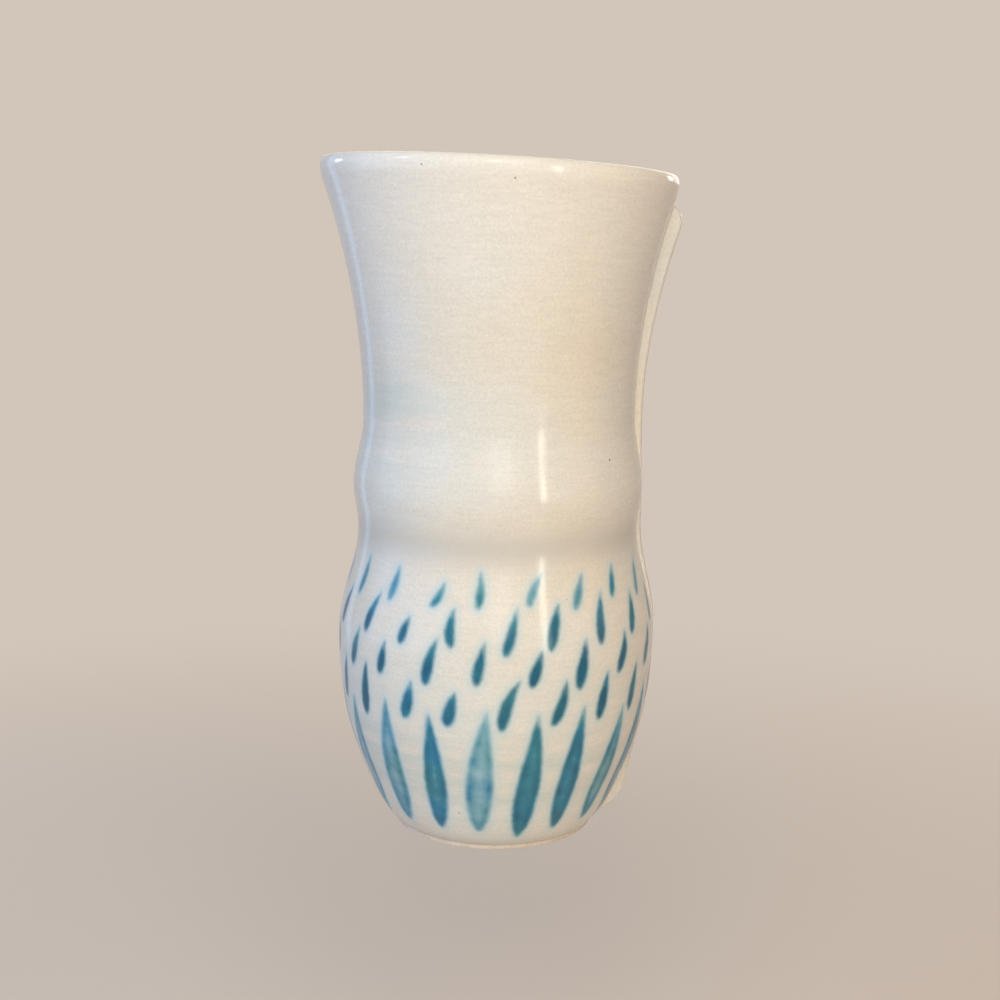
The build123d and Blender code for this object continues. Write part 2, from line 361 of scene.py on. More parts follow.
# %% Other marks on the wall
LIP_BAND_MM = 1.6
SIDE_WASH, SIDE_WASH_DEG, SIDE_WASH_WIDE, SIDE_WASH_Z, SIDE_WASH_TALL = 0.6, -42.0, 24.0, 128.0, 20.0
LOW_WASH, LOW_WASH_Z, LOW_WASH_TALL = 0.5, 28.0, 22.0
# the mouth's painted highlight: the glaze whitens between these two heights, by this share, standing in for
# brighter light there
MOUTH_LIGHT_FROM, MOUTH_LIGHT_FULL, MOUTH_LIGHT_SHARE = 145.0, 190.0, 0.75
# reach of the painted shade in the groove under the ring, and of the darker band just above the foot
GROOVE_SHADE_MM, FOOT_BAND_MM = 5.0, 2.5


def hump(value, middle, reach):
    """Bell curve exp(-((v - m) / r)^2): 1 in the middle, and about a third at its reach."""
    return np.exp(-((value - middle) / reach) ** 2)


in_lip = hump(section_z, rim, LIP_BAND_MM)
wash = SIDE_WASH * hump(np.degrees(wall_turn), SIDE_WASH_DEG, SIDE_WASH_WIDE)
wash *= hump(section_z, SIDE_WASH_Z, SIDE_WASH_TALL)
wash += LOW_WASH * hump(section_z, LOW_WASH_Z, LOW_WASH_TALL)
wash[outside.stop:] = 0
# painted highlight, rising smoothly towards the mouth, in place of the brighter light on the rim
toward_mouth = np.clip((section_z - MOUTH_LIGHT_FROM) / (MOUTH_LIGHT_FULL - MOUTH_LIGHT_FROM), 0, 1)
painted_mouth_light = MOUTH_LIGHT_SHARE * toward_mouth ** 2 * (3 - 2 * toward_mouth)
# painted shade: the glaze is greyed in the groove under the ring, and a band just above the foot is darkened
# too
groove_shade_and_foot_band = hump(section_z, GROOVE, GROOVE_SHADE_MM) + hump(section_z, BARE_EDGE, FOOT_BAND_MM)
print("strongest wash:", round(wash.max(), 2), "and thickest coat at the mouth:", painted_mouth_light.max())

# %% Thrown wall
wall_faces = grid_faces(*section_z.shape, wrap_rows=True)
numbers = np.arange(section_z.size).reshape(section_z.shape)
wall_faces = np.concatenate([wall_faces, end_faces(numbers[:, 0])[:, ::-1], end_faces(numbers[:, -1])])
thrown_wall = make_piece("glazed_wall", wall_points, wall_faces, crease_deg=50, attributes={
    "stroke_edge": stroke_edge,
    "pigment": pigment,
    "wash": wash,
    "lip": in_lip,
    # the last two marks are painted light: shade in the groove, with a darker band above the foot, and a
    # highlight at the mouth
    "groove_shade_and_foot_band": groove_shade_and_foot_band,
    "painted_mouth_light": painted_mouth_light,
})
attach(thrown_wall, "vase")
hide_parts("thrown_wall")

# %% [markdown]
# ## The back slab
# The slab is rolled out, cut round the pot with a knife and softened with a sponge. Its outline and its
# keyhole are two closed lines round the same point, so the slab is a ring: the grid goes round once, and
# its section runs along the back, round the edge, along the front and through the keyhole. That makes a
# plate with a hole in one closed surface, with no cutting. In front, the sponge only rounds what stands
# free of the wall, so the round gets small where the wall comes out to the slab's edge.

# %% Slab outline
SLAB_DROP = 6.0
TOP_CORNER = 7.0
FOOT_CORNER = 2.0
SLAB_EDGE = 1.2
ROUND_SHARE, LEAST_ROUND = 0.7, 0.15
SLAB_SIDE_POINTS, CORNER_POINTS = 126, 14
SLAB_TOP_POINTS = 60
GUESSES = 8


def corner_centre(stations, radius, level, fall, up):
    """Centre of a corner round, by repeated guesses: its radius inside the slab's side, which leans by what
    it gains over 1 mm, and its radius under (up = 1) or over (up = -1) the line z = level - fall x."""
    x = 0.0
    for _ in range(GUESSES):
        z = level - fall * x - up * radius * np.hypot(1, fall)
        lean = along_stations(stations, z + 0.5) - along_stations(stations, z - 0.5)
        x = along_stations(stations, z) - radius * np.hypot(1, lean)
    return np.array([x, z]), np.arctan(lean)


def corner_arc(centre, radius, first, last):
    """Round from one angle to another about its centre."""
    angle = np.linspace(first, last, CORNER_POINTS)
    return centre + radius * np.stack([np.cos(angle), np.sin(angle)], axis=-1)


def slab_side(side, stations):
    """One side from foot to top: a small round, the half width at each height, and a large round."""
    foot, foot_lean = corner_centre(stations, FOOT_CORNER, 0.0, 0.0, -1)
    top, top_lean = corner_centre(stations, TOP_CORNER, HEIGHT - SLAB_DROP, side * RIM_FALL, 1)
    foot_arc = corner_arc(foot, FOOT_CORNER, -np.pi / 2, -foot_lean)
    top_arc = corner_arc(top, TOP_CORNER, -top_lean, np.pi / 2 - np.arctan(side * RIM_FALL))
    z = np.linspace(foot_arc[-1, 1], top_arc[0, 1], SLAB_SIDE_POINTS)[1:-1]
    line = np.concatenate([foot_arc, np.stack([along_stations(stations, z), z], axis=-1), top_arc])
    return line * (side, 1)


def straight(start, end, points):
    """Points between two places, without the places themselves."""
    share = np.linspace(0, 1, points + 2)[1:-1, None]
    return start + (end - start) * share


right, left = slab_side(1, SLAB_RIGHT), slab_side(-1, SLAB_LEFT)[::-1]
outline = np.concatenate([
    right,
    straight(right[-1], left[0], SLAB_TOP_POINTS),
    left,
    straight(left[-1], right[0], SLAB_TOP_POINTS),
])
full_round = np.full(SLAB_TOP_POINTS, SLAB_EDGE)
seam_round = [
    np.clip(ROUND_SHARE * slab_proud(stations, side[:, 1]), LEAST_ROUND, SLAB_EDGE)
    for side, stations in ((right, SLAB_RIGHT), (left, SLAB_LEFT))
]
front_round = np.concatenate([seam_round[0], full_round, seam_round[1], full_round])[:, None]
ahead = np.roll(outline, -1, axis=0) - np.roll(outline, 1, axis=0)
inward = np.stack([-ahead[:, 1], ahead[:, 0]], axis=-1) / np.hypot(*ahead.T)[:, None]
print("slab:", np.ptp(outline, axis=0).round(1), "mm")

# %% Keyhole
SLOT_RISE = 10.0
ENTRY_Z, ENTRY_RADIUS = HANG_HEIGHT - SLOT_RISE, 4.8
SLOT_RADIUS = 2.3
EYE_RISE = 2.0
EYE = np.array([0.0, ENTRY_Z + EYE_RISE])
SIDEWAYS_LEAST = 1e-6


def reach_to_circle(way, centre, radius):
    """Distance from the eye, along each way, to the far side of a circle that it looks at or stands in."""
    toward = way @ (centre - EYE)
    return toward + np.sqrt(np.clip(toward ** 2 - np.sum((centre - EYE) ** 2) + radius ** 2, 0, None))


way = (outline - EYE) / np.hypot(*(outline - EYE).T)[:, None]
entry_reach = reach_to_circle(way, np.array([0.0, ENTRY_Z]), ENTRY_RADIUS)
wall_reach = SLOT_RADIUS / np.clip(np.abs(way[:, 0]), SIDEWAYS_LEAST, None)
end_reach = reach_to_circle(way, np.array([0.0, HANG_HEIGHT]), SLOT_RADIUS)
slot_reach = np.where(EYE[1] + wall_reach * way[:, 1] > HANG_HEIGHT, end_reach, wall_reach)
keyhole = EYE + way * np.where(way[:, 1] > 0, np.maximum(entry_reach, slot_reach), entry_reach)[:, None]
print("keyhole:", np.ptp(keyhole, axis=0).round(1), "mm")

# %% Slab section
EDGE_ROWS, FACE_ROWS = 6, 22
quarter = np.linspace(0, np.pi / 2, EDGE_ROWS)
edge_inset = SLAB_EDGE * (1 - np.sin(quarter))
edge_rise = SLAB_EDGE * (1 - np.cos(quarter))
face_share = np.linspace(0, 1, FACE_ROWS)[:-1]
narrower = front_round / SLAB_EDGE
slab_rows = []
for share in face_share:
    slab_rows.append((keyhole + (outline + inward * SLAB_EDGE - keyhole) * share, 0.0))
for inset, rise in zip(edge_inset, edge_rise):
    slab_rows.append((outline + inward * inset, -rise))
for inset, rise in zip(edge_inset[::-1], edge_rise[::-1]):
    slab_rows.append((outline + inward * inset * narrower, rise * narrower[:, 0] - SLAB_THICK))
for share in face_share[::-1]:
    slab_rows.append((keyhole + (outline + inward * front_round - keyhole) * share, -SLAB_THICK))
slab_points = np.stack([
    np.stack([xz[:, 0], np.broadcast_to(y, len(xz)), xz[:, 1]], axis=-1) for xz, y in slab_rows])
slab_faces = grid_faces(*slab_points.shape[:2], wrap_rows=True, wrap_columns=True)
back_slab = make_piece("glazed_back_slab", slab_points, slab_faces, crease_deg=50)
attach(back_slab, "vase")
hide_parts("back_slab")

# %% [markdown]
# ## The base
# The floor of the vase is a slab too, a D in plan. Its edge is left bare, so that the pot doesn't stick to
# the kiln shelf, and shows as a pale line under the glaze. The grid's rows are closed D lines that run from
# the middle of the underside, round the edge and up the shoulder, to the middle of the upper side.

# %% Base slab
BASE_THICK = 7.0
BARE_SETBACK = 0.25
SLIP_GAP = 0.1
BASE_MIDDLE = np.array([0.0, -24.0])
BASE_ROUND = 0.35
BARE_DRAFT = 0.35
ARC_POINTS, CHORD_POINTS = 120, 40
DISC_ROWS, ROUND_ROWS, SHOULDER_ROWS = 8, 5, 6


def d_line(radius):
    """Closed D about the thrown axis: the arc round the front, then the chord along the slab."""
    turn = seam_turn(radius)
    arc = on_pot(radius, np.linspace(-turn, turn, ARC_POINTS), 0.0)[:, :2]
    return np.concatenate([arc, straight(arc[-1], arc[0], CHORD_POINTS)])


bare_radius = THROWN[0, 1] + THROWN[0, 2] * BARE_EDGE - BARE_SETBACK
base_rows = []
foot_line = d_line(bare_radius - BARE_DRAFT - BASE_ROUND)
for share in np.linspace(0, 1, DISC_ROWS):
    base_rows.append((BASE_MIDDLE + (foot_line - BASE_MIDDLE) * share, 0.0))
for angle in np.linspace(0, np.pi / 2, ROUND_ROWS)[1:]:
    foot_inset = BARE_DRAFT + BASE_ROUND * (1 - np.sin(angle))
    base_rows.append((d_line(bare_radius - foot_inset), BASE_ROUND * (1 - np.cos(angle))))
base_rows.append((d_line(bare_radius), BARE_EDGE))
for shoulder_z in np.linspace(BARE_EDGE, BASE_THICK, SHOULDER_ROWS):
    shoulder_line = d_line(pot_radius(shoulder_z) - WALL - SLIP_GAP)
    base_rows.append((shoulder_line, shoulder_z))
for share in np.linspace(1, 0, DISC_ROWS)[1:]:
    base_rows.append((BASE_MIDDLE + (shoulder_line - BASE_MIDDLE) * share, BASE_THICK))
base_points = np.stack([np.column_stack([xy, np.full(len(xy), z)]) for xy, z in base_rows])
base_faces = grid_faces(*base_points.shape[:2], wrap_columns=True)
base_slab = make_piece("bare_base", base_points, base_faces, crease_deg=40)
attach(base_slab, "vase")
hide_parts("base_slab")

# %% [markdown]
# ## Seam coils
# Inside, a thin coil of clay is pressed into each seam with a finger, so that the join doesn't crack in
# the kiln. It is a quarter round carried along the seam, a little thinner at each place where the
# fingertip went down. All three coils share one section, so one loop closes and places them.

# %% Side coils
COIL_WIDTH = 5.0
COIL_TOP = HEIGHT - 55.0
COIL_POWER = 0.8
SEAM_SHARE = 0.03
FINGER, PRESSED = 13.0, 0.11
DRIFT, DRIFT_FINGERS = 0.9, 4.3
TAPER, TAPER_PAST, TAPER_LEAST = 9.0, 1.5, 0.25
SECTION_POINTS, SIDE_COIL_ROWS = 9, 140


def coil_section(points):
    """Closed section: a superelliptic quarter round, (cos^p, sin^p), from one clay face to the other, and
    back along both faces, which it sinks into by a small share of its width."""
    angle = np.linspace(0, np.pi / 2, points)
    bulge = np.stack([np.cos(angle), np.sin(angle)], axis=-1) ** COIL_POWER
    deep = -SEAM_SHARE
    return np.concatenate([bulge, [(deep, 1.0), (deep, 0.5), (deep, deep), (0.5, deep), (1.0, deep)]])


def finger_press(distance):
    """Share of the full width: dips about once in a fingertip's width, at a drifting pace, and never grows."""
    drift = DRIFT * np.sin(2 * np.pi * distance / (DRIFT_FINGERS * FINGER))
    return 1 - PRESSED * (0.5 + 0.5 * np.cos(2 * np.pi * distance / FINGER + drift)) ** 2


section = coil_section(SECTION_POINTS)
seam_z = np.linspace(BASE_THICK, COIL_TOP, SIDE_COIL_ROWS)[:, None]
taper = np.clip((COIL_TOP + TAPER_PAST - seam_z) / TAPER, TAPER_LEAST, 1) ** 0.5
coil_width = COIL_WIDTH * finger_press(seam_z) * taper
off_wall, off_slab = coil_width * section[:, 0], coil_width * section[:, 1]
inner_radius = pot_radius(seam_z) - WALL
seam_x = np.sqrt(inner_radius ** 2 - (SEAM_DEPTH - off_slab) ** 2) - off_wall
coil_grids = {
    name: np.stack(np.broadcast_arrays(side * seam_x, -SLAB_THICK - off_slab, seam_z), axis=-1)
    for side, name in ((-1, "left_seam_coil"), (1, "right_seam_coil"))
}
print("side coils run from", BASE_THICK, "to", COIL_TOP, "mm")

# %% Floor coil
FLOOR_COIL_ROWS, FLOOR_SEAM_RADIUS = 110, 33.0
floor_turn = np.linspace(-np.pi / 2, np.pi / 2, FLOOR_COIL_ROWS)[:, None]
floor_width = COIL_WIDTH * finger_press(floor_turn * FLOOR_SEAM_RADIUS)
floor_coil_z = BASE_THICK + floor_width * section[:, 1]
floor_coil_radius = pot_radius(floor_coil_z) - WALL - floor_width * section[:, 0]
coil_grids["floor_seam_coil"] = on_pot(floor_coil_radius, floor_turn, floor_coil_z)

for name, points in coil_grids.items():
    numbers = np.arange(points[..., 0].size).reshape(points.shape[:2])
    sides = grid_faces(*numbers.shape, wrap_columns=True)
    faces = np.concatenate([sides, end_faces(numbers[0])[:, ::-1], end_faces(numbers[-1])])
    coil = make_piece("pressed_" + name, points, faces, crease_deg=60)
    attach(coil, "vase")
    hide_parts(name)

# %% [markdown]
# ## The hanging screw
# A plain pan-head wood screw carries the vase. It is turned from one profile, and two waves change it: the
# radius of the shank rises and falls along a helix, which is the thread, and the crown sinks where the
# distance to a cross is small, which is the drive.

# %% Screw profile
SCREW_HEAD, SCREW_SHANK, SCREW_ROOT = 4.0, 2.0, 1.55
HEAD_GAP, HEAD_TALL, HEAD_ROUND = 0.5, 2.6, 1.6
SCREW_SEAT = -SLAB_THICK - HEAD_GAP
SCREW_CROWN = SCREW_SEAT - HEAD_TALL
THREAD_END, SCREW_TIP = 24.0, 28.0
CROWN_ROWS, HEAD_ROWS, SHANK_ROWS = 40, 10, 320

crown_radius = np.linspace(0, SCREW_HEAD - HEAD_ROUND, CROWN_ROWS)
head_angle = np.linspace(0, np.pi / 2, HEAD_ROWS)[1:]
shank_y = np.linspace(SCREW_SEAT, SCREW_TIP, SHANK_ROWS)
profile_r = np.concatenate([
    crown_radius,
    SCREW_HEAD - HEAD_ROUND + HEAD_ROUND * np.sin(head_angle),
    [SCREW_HEAD, SCREW_SHANK],
    np.interp(shank_y[1:], [THREAD_END, SCREW_TIP], [SCREW_SHANK, 0.0]),
])[:, None]
profile_y = np.concatenate([
    np.full(len(crown_radius), SCREW_CROWN),
    SCREW_CROWN + HEAD_ROUND * (1 - np.cos(head_angle)),
    [SCREW_SEAT, SCREW_SEAT],
    shank_y[1:],
])[:, None]
print("screw:", round(float(np.ptp(profile_y)), 1), "mm long, its head", 2 * SCREW_HEAD, "mm wide")

# %% Thread and drive
THREAD_PITCH, THREAD_START, THREAD_RUN_IN, FLANK_SHARE = 1.4, 1.0, 1.5, 0.8
DRIVE_HALF_WIDTH, DRIVE_HALF_LENGTH, DRIVE_DEPTH, DRIVE_FLANK = 0.5, 2.3, 1.5, 0.35
CROWN_SLACK = 0.05
SCREW_COLUMNS = 64

around = np.linspace(0, 2 * np.pi, SCREW_COLUMNS, endpoint=False)
helix = (profile_y / THREAD_PITCH - around / (2 * np.pi)) % 1.0
crest = np.clip(1 - np.abs(2 * helix - 1) / FLANK_SHARE, 0, 1)
threaded = np.clip((profile_y - THREAD_START) / THREAD_RUN_IN, 0, 1)
root = profile_r * SCREW_ROOT / SCREW_SHANK
cut_r = profile_r + threaded * (root - profile_r) * (1 - crest)
screw_r = np.where(profile_y > SCREW_SEAT, cut_r, profile_r)
screw_x, screw_up = screw_r * np.cos(around), screw_r * np.sin(around)
slimness = DRIVE_HALF_LENGTH / DRIVE_HALF_WIDTH
upright_arm = np.maximum(np.abs(screw_up), np.abs(screw_x) * slimness)
level_arm = np.maximum(np.abs(screw_x), np.abs(screw_up) * slimness)
from_cross = DRIVE_HALF_LENGTH - np.minimum(level_arm, upright_arm)
sunk = DRIVE_DEPTH * np.clip(from_cross / DRIVE_FLANK, 0, 1)
screw_y = profile_y + np.where(profile_y < SCREW_CROWN + CROWN_SLACK, sunk, 0)
screw_points = np.stack(np.broadcast_arrays(screw_x, screw_y, screw_up + HANG_HEIGHT), axis=-1)
screw_faces = grid_faces(*screw_points.shape[:2], wrap_columns=True)
screw = make_piece("pan_head_screw", screw_points, screw_faces, crease_deg=35)
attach(screw, "screw")
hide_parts("hanging_screw")

# %% [markdown]
# ## Finishes
# A material starts from what the real surface is. One helper writes a colour from its sRGB hex as linear
# light, and one helper adds a node. Patterns read Object coordinates, which are metres on the piece, so
# a pattern that repeats every L millimetres has the scale 1000/L. A noise texture's values lie around 0.5,
# and a named range, such as the one for cool clouds, picks the part of them that becomes a mark.

# %% Material helpers
# A Mix node of colours has its colours in sockets 6 and 7 and its result in 2; one of values has 2 and 3.
MIX_A, MIX_B, MIX_OUT = 6, 7, 2
MIX_LOW, MIX_HIGH = 2, 3


def linear(colour):
    """sRGB hex to linear: c/12.92 when dark, else ((c+0.055)/1.055)^2.4, with full alpha."""
    c = np.array([int(colour[k:k + 2], 16) for k in (1, 3, 5)]) / 255
    return (*np.where(c <= 0.04045, c / 12.92, ((c + 0.055) / 1.055) ** 2.4).tolist(), 1.0)


def fill(tree, node, inputs):
    """Fills a node's inputs: an output of another node is linked, and a plain value is set."""
    for name, value in inputs.items():
        if isinstance(value, bpy.types.NodeSocket):
            tree.links.new(value, node.inputs[name])
        else:
            node.inputs[name].default_value = value


def add(tree, kind, inputs=None, **settings):
    """Adds one node, sets its properties and fills its inputs."""
    made = tree.nodes.new(kind)
    for name, value in settings.items():
        setattr(made, name, value)
    fill(tree, made, inputs or {})
    return made


def start_material(name):
    """An empty material with one Principled shader on its output."""
    material = bpy.data.materials.new(name)
    material.use_nodes = True
    material.node_tree.nodes.clear()
    shader = add(material.node_tree, "ShaderNodeBsdfPrincipled")
    add(material.node_tree, "ShaderNodeOutputMaterial", {"Surface": shader.outputs["BSDF"]})
    return material, material.node_tree, shader


print("the middle grey #808080 is", round(linear("#808080")[0], 3), "in linear light")

# %% [markdown]
# ## Cream glaze
# The glaze is a milky cream over pale stoneware. It clouds softly over a few centimetres, and it is painted
# whiter round the mouth, as a painted highlight for the brighter light there. The wheel's short throwing
# lines and the grain of the clay show through it, and iron in the clay has burnt through as a few dark
# specks. Gloss comes from the glass itself: an index of 1.5 and a low roughness.

# %% Cream glaze
CREAM, CREAM_WARM, CREAM_COOL, CREAM_LIT = "#ece8dd", "#ebe3d3", "#e6e7e1", "#f8f4ea"
SPECK = "#6f6052"
CLOUD_MM, LINE_MM, LINE_RUN_MM, SPECK_MM, GRAIN_MM = 34.0, 0.9, 9.0, 5.0, 0.7
WARM_CLOUDS = {"From Min": 0.5, "From Max": 0.25}
COOL_CLOUDS = {"From Min": 0.45, "From Max": 0.75}
LINE_SHADE = {"From Min": 0.3, "From Max": 0.7, "To Min": 0.964, "To Max": 1.02}
GRAIN_SHADE = {"From Min": 0.3, "From Max": 0.7, "To Min": 0.935, "To Max": 1.045}
SPECK_SIZES = {"From Min": 0.86, "To Max": 0.1}
SPECK_EDGE = {"From Min": -0.012, "From Max": 0.04, "To Max": 0.8}


def cream_glaze(tree, painted_light):
    """Colour and height of the glaze: clouds, throwing lines, grain and specks. The last argument is the share
    of painted highlight that whitens it.
    """
    place = add(tree, "ShaderNodeTexCoord").outputs["Object"]
    cloud = add(tree, "ShaderNodeTexNoise", {"Vector": place, "Scale": 1000 / CLOUD_MM, "Detail": 3.0})
    warm = add(tree, "ShaderNodeMapRange", {"Value": cloud.outputs["Fac"], **WARM_CLOUDS}).outputs[0]
    cool = add(tree, "ShaderNodeMapRange", {"Value": cloud.outputs["Fac"], **COOL_CLOUDS}).outputs[0]
    colour = linear(CREAM)
    # the last share is a painted highlight: it whitens the glaze where the light would fall brighter
    for share, over in ((warm, CREAM_WARM), (cool, CREAM_COOL), (painted_light, CREAM_LIT)):
        colour = add(tree, "ShaderNodeMix", {
            0: share, MIX_A: colour, MIX_B: linear(over)}, data_type="RGBA").outputs[MIX_OUT]
    stretched = add(tree, "ShaderNodeMapping", {
        "Vector": place, "Scale": (1000 / LINE_RUN_MM, 1000 / LINE_RUN_MM, 1000 / LINE_MM)})
    lines = add(tree, "ShaderNodeTexNoise", {"Vector": stretched.outputs[0], "Scale": 1.0, "Detail": 2.0})
    grain = add(tree, "ShaderNodeTexNoise", {"Vector": place, "Scale": 1000 / GRAIN_MM, "Detail": 2.0})
    relief = add(tree, "ShaderNodeMix", {0: 0.5, MIX_LOW: lines.outputs["Fac"], MIX_HIGH: grain.outputs["Fac"]})
    lined = add(tree, "ShaderNodeMapRange", {"Value": lines.outputs["Fac"], **LINE_SHADE})
    grainy = add(tree, "ShaderNodeMapRange", {"Value": grain.outputs["Fac"], **GRAIN_SHADE})
    dapple = add(tree, "ShaderNodeMath", {0: lined.outputs[0], 1: grainy.outputs[0]}, operation="MULTIPLY")
    colour = add(tree, "ShaderNodeMix", {
        0: 1.0, MIX_A: colour, MIX_B: dapple.outputs[0]}, data_type="RGBA", blend_type="MULTIPLY")
    cells = add(tree, "ShaderNodeTexVoronoi", {"Vector": place, "Scale": 1000 / SPECK_MM})
    chance = add(tree, "ShaderNodeSeparateColor", {0: cells.outputs["Color"]})
    size = add(tree, "ShaderNodeMapRange", {"Value": chance.outputs[0], **SPECK_SIZES})
    into = add(tree, "ShaderNodeMath", {0: size.outputs[0], 1: cells.outputs["Distance"]}, operation="SUBTRACT")
    spot = add(tree, "ShaderNodeMapRange", {"Value": into.outputs[0], **SPECK_EDGE})
    colour = add(tree, "ShaderNodeMix", {
        0: spot.outputs[0], MIX_A: colour.outputs[MIX_OUT], MIX_B: linear(SPECK)}, data_type="RGBA")
    return place, colour.outputs[MIX_OUT], relief.outputs[0]


print("cream glaze: clouds of", CLOUD_MM, "mm, throwing lines of", LINE_MM, "mm, grain of", GRAIN_MM, "mm")

# %% Marks in the wall's glaze
# Glaze runs thin and warm over the lip and holds a streaky wash of teal. The groove under the ring is
# painted grey as painted shade, and the same mark darkens a band just above the foot.
HALO, WASH, SHADE_GREY, BROKEN = "#c4dde2", "#b9cfcb", "#d2cec5", "#e4dccf"
LIP_THIN, SHADE_STRENGTH = 0.35, 0.8
STREAK_MM, STREAK_RUN_MM = 4.0, 60.0
STREAKED = {"From Min": 0.35, "From Max": 0.75}
HALO_REACH = {"From Min": -3.0, "From Max": 0.0, "To Max": 0.55}
painted, tree, shader = start_material("cream_glaze_with_teal_brushwork")
# two of these marks are painted light: the groove's shade, with a darker band above the foot, and the mouth's
# highlight
marks = {
    name: add(tree, "ShaderNodeAttribute", attribute_name=name).outputs["Fac"]
    for name in ("painted_mouth_light", "lip", "groove_shade_and_foot_band", "wash", "stroke_edge", "pigment")
}
place, colour, relief = cream_glaze(tree, marks["painted_mouth_light"])
thin_lip = add(tree, "ShaderNodeMath", {0: marks["lip"], 1: LIP_THIN}, operation="MULTIPLY").outputs[0]
# painted shade in the groove, and a darker band above the foot
shade_and_band = add(tree, "ShaderNodeMath", {0: marks["groove_shade_and_foot_band"], 1: SHADE_STRENGTH}, operation="MULTIPLY").outputs[0]
streaks = add(tree, "ShaderNodeMapping", {
    "Vector": place, "Scale": (1000 / STREAK_RUN_MM, 1000 / STREAK_RUN_MM, 1000 / STREAK_MM)})
streak = add(tree, "ShaderNodeTexNoise", {"Vector": streaks.outputs[0], "Scale": 1.0, "Detail": 3.0})
streaked = add(tree, "ShaderNodeMapRange", {"Value": streak.outputs["Fac"], **STREAKED})
washed = add(tree, "ShaderNodeMath", {
    0: marks["wash"], 1: streaked.outputs[0]}, operation="MULTIPLY").outputs[0]
halo = add(tree, "ShaderNodeMapRange", {
    "Value": marks["stroke_edge"], **HALO_REACH}, interpolation_type="SMOOTHSTEP").outputs[0]
for share, over in ((thin_lip, BROKEN), (shade_and_band, SHADE_GREY), (washed, WASH), (halo, HALO)):
    colour = add(tree, "ShaderNodeMix", {
        0: share, MIX_A: colour, MIX_B: linear(over)}, data_type="RGBA").outputs[MIX_OUT]
print("marks on the wall:", ", ".join(marks))

# %% Teal strokes
# Teal oxide under the glaze: deep where the brush was full, blue and thin where it ran dry.
TEAL_DEEP, TEAL_FULL, TEAL_GREEN, TEAL_THIN = "#0e607c", "#2a86ab", "#3c8c98", "#9cc6d2"
RAGGED_MM, PATCH_MM, GREEN_MM = 2.2, 6.0, 16.0
RAGGED_BY, PATCHY_BY = 0.35, 0.35
SOFT_EDGE = {"From Min": -0.95, "From Max": 0.75}
TO_THE_HEART = {"From Min": -0.4, "From Max": 1.2, "To Min": -0.25, "To Max": 0.06}
WORN_BROAD = {"From Min": 1.4, "From Max": 3.4, "To Max": -0.22}
FULL_LOAD = {"From Min": 0.15, "From Max": 0.65}
DEEP_LOAD = {"From Min": 0.6, "From Max": 0.98}
GREEN_PARTS = {"From Min": 0.4, "From Max": 0.65}
ragged = add(tree, "ShaderNodeTexNoise", {"Vector": place, "Scale": 1000 / RAGGED_MM, "Detail": 3.0})
wobble = add(tree, "ShaderNodeMath", {
    0: ragged.outputs["Fac"], 1: 2 * RAGGED_BY, 2: -RAGGED_BY}, operation="MULTIPLY_ADD")
rough_edge = add(tree, "ShaderNodeMath", {0: marks["stroke_edge"], 1: wobble.outputs[0]}, operation="ADD")
mask = add(tree, "ShaderNodeMapRange", {
    "Value": rough_edge.outputs[0], **SOFT_EDGE}, interpolation_type="SMOOTHSTEP")
patches = add(tree, "ShaderNodeTexNoise", {"Vector": place, "Scale": 1000 / PATCH_MM, "Detail": 4.0})
uneven = add(tree, "ShaderNodeMath", {
    0: patches.outputs["Fac"], 1: 2 * PATCHY_BY, 2: -PATCHY_BY}, operation="MULTIPLY_ADD")
broad = add(tree, "ShaderNodeMapRange", {"Value": marks["stroke_edge"], **WORN_BROAD})
heart = add(tree, "ShaderNodeMapRange", {"Value": marks["stroke_edge"], **TO_THE_HEART})
laid = marks["pigment"]
for change in (uneven, broad, heart):
    laid = add(tree, "ShaderNodeMath", {0: laid, 1: change.outputs[0]}, operation="ADD").outputs[0]
full = add(tree, "ShaderNodeMapRange", {"Value": laid, **FULL_LOAD}).outputs[0]
deep = add(tree, "ShaderNodeMapRange", {"Value": laid, **DEEP_LOAD}).outputs[0]
greenish = add(tree, "ShaderNodeTexNoise", {"Vector": place, "Scale": 1000 / GREEN_MM, "Detail": 2.0})
green = add(tree, "ShaderNodeMapRange", {"Value": greenish.outputs["Fac"], **GREEN_PARTS})
body = add(tree, "ShaderNodeMix", {
    0: green.outputs[0], MIX_A: linear(TEAL_FULL), MIX_B: linear(TEAL_GREEN)}, data_type="RGBA")
teal = linear(TEAL_THIN)
for share, over in ((full, body.outputs[MIX_OUT]), (deep, linear(TEAL_DEEP))):
    teal = add(tree, "ShaderNodeMix", {0: share, MIX_A: teal, MIX_B: over}, data_type="RGBA").outputs[MIX_OUT]
colour = add(tree, "ShaderNodeMix", {
    0: mask.outputs[0], MIX_A: colour, MIX_B: teal}, data_type="RGBA").outputs[MIX_OUT]
print("stroke edges wander by", RAGGED_BY, "mm")

# %% Finish of the wall
GLAZE_IOR, WALL_ROUGH, WALL_SKIN_MM = 1.5, 0.14, 0.03
skin = add(tree, "ShaderNodeBump", {"Height": relief, "Strength": 1.0, "Distance": WALL_SKIN_MM * MM})
fill(tree, shader, {
    "Base Color": colour, "Normal": skin.outputs[0], "Roughness": WALL_ROUGH, "IOR": GLAZE_IOR})
thrown_wall.data.materials.append(painted)
print("nodes in the wall's glaze:", len(tree.nodes))

# %% [markdown]
# ## Bare stoneware, and where the glaze stops
# The back and the foot are wiped clean before firing. Fired stoneware is a warm buff with dark and pale
# grit and no gloss. On the slab the glaze reaches round the edge and stops in a wavy line, a couple of
# millimetres from the back; on the base it only lies on the upper side, inside the vase.

